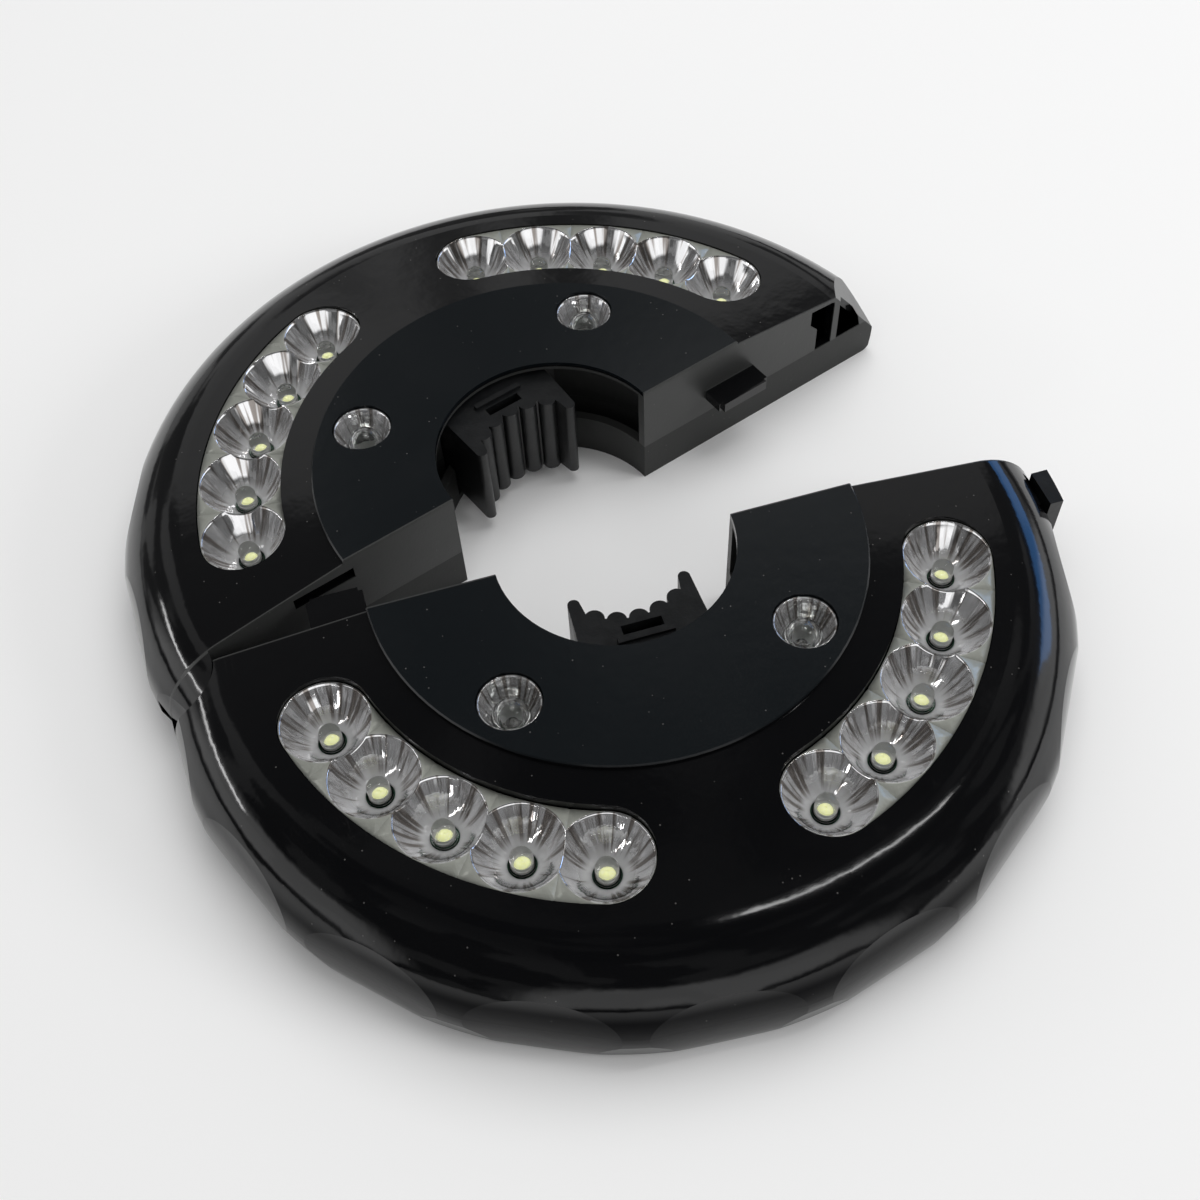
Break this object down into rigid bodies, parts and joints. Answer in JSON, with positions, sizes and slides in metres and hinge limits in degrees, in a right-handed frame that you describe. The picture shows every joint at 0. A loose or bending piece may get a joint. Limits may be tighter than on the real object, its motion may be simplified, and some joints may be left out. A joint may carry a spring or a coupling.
{
  "type": "clip-on patio umbrella light",
  "caption": "Round clip-on umbrella pole light: two hinged half discs with sprung ribbed jaws, mirrored lamp windows, spot lamps, an end latch and battery bays.",
  "frame": {"origin": "on the resting face, on the pole's centre line in the fixed half", "axes": "+Z out of the lamp side along the pole, +X along the fixed half's parting line from the hinge to the latch, +Y towards the swing half"},
  "size_m": [0.2201, 0.2463, 0.0311],
  "materials": {
    "cover_plastic": "gloss",
    "grip_plastic": "matte",
    "mirrored_plastic": "mirrored",
    "lamp_epoxy": "clear",
    "circuit_board": "satin",
    "spring_steel": "bright",
    "cell_jacket": "satin",
    "contact_metal": "bright",
    "screw_steel": "satin"
  },
  "bodies": {
    "fixed_half": {"fixed_top_cover": "cover_plastic", "fixed_base_cover": "cover_plastic", "fixed_reflector_left": "mirrored_plastic", "fixed_reflector_right": "mirrored_plastic", "fixed_spot_cups": "mirrored_plastic", "fixed_ring_leds": "lamp_epoxy", "fixed_spot_leds": "lamp_epoxy", "fixed_led_board": "circuit_board", "fixed_spot_boards": "circuit_board", "fixed_jaw_springs": "spring_steel", "fixed_cells": "cell_jacket", "fixed_contact_link": "contact_metal", "fixed_contact_tabs": "contact_metal", "fixed_screws": "screw_steel", "hinge_pin": "spring_steel", "latch_spring": "spring_steel"},
    "swing_half": {"swing_top_cover": "cover_plastic", "swing_base_cover": "cover_plastic", "swing_reflector_left": "mirrored_plastic", "swing_reflector_right": "mirrored_plastic", "swing_spot_cups": "mirrored_plastic", "swing_ring_leds": "lamp_epoxy", "swing_spot_leds": "lamp_epoxy", "swing_led_board": "circuit_board", "swing_spot_boards": "circuit_board", "swing_jaw_springs": "spring_steel", "swing_cells": "cell_jacket", "swing_contact_link": "contact_metal", "swing_contact_tabs": "contact_metal", "swing_screws": "screw_steel", "power_switch": "circuit_board"},
    "fixed_jaw": {"fixed_jaw": "grip_plastic"},
    "swing_jaw": {"swing_jaw": "grip_plastic"},
    "latch": {"latch": "grip_plastic"},
    "power_button": {"power_button": "grip_plastic"},
    "fixed_door": {"fixed_battery_door": "cover_plastic"},
    "swing_door": {"swing_battery_door": "cover_plastic"}
  },
  "joints": [
    {"name": "half_hinge", "type": "hinge", "parent": "fixed_half", "child": "swing_half", "pos_m": [-0.1004, 0, 0.0115], "axis": [0, 0, 1], "range_deg": [-19.2, 50]},
    {"name": "fixed_jaw_slide", "type": "slide", "parent": "fixed_half", "child": "fixed_jaw", "axis": [0, -1, 0], "range_m": [0, 0.008], "stiffness_N_per_m": 250, "springref_m": -0.004, "deforming": ["fixed_jaw_springs"]},
    {"name": "swing_jaw_slide", "type": "slide", "parent": "swing_half", "child": "swing_jaw", "axis": [-0.3289, 0.9444, 0], "range_m": [0, 0.008], "stiffness_N_per_m": 250, "springref_m": -0.004, "deforming": ["swing_jaw_springs"]},
    {"name": "latch_press", "type": "slide", "parent": "fixed_half", "child": "latch", "axis": [-1, 0, 0], "range_m": [0, 0.002], "stiffness_N_per_m": 600, "springref_m": -0.003, "deforming": ["latch_spring"]},
    {"name": "power_press", "type": "slide", "parent": "swing_half", "child": "power_button", "axis": [0.2453, -0.9694, 0], "range_m": [0, 0.0012], "stiffness_N_per_m": 800, "springref_m": -0.001},
    {"name": "fixed_door_slide", "type": "slide", "parent": "fixed_half", "child": "fixed_door", "axis": [1, 0, 0], "range_m": [0, 0.007]},
    {"name": "swing_door_slide", "type": "slide", "parent": "swing_half", "child": "swing_door", "axis": [-0.9444, -0.3289, 0], "range_m": [0, 0.007]}
  ]
}
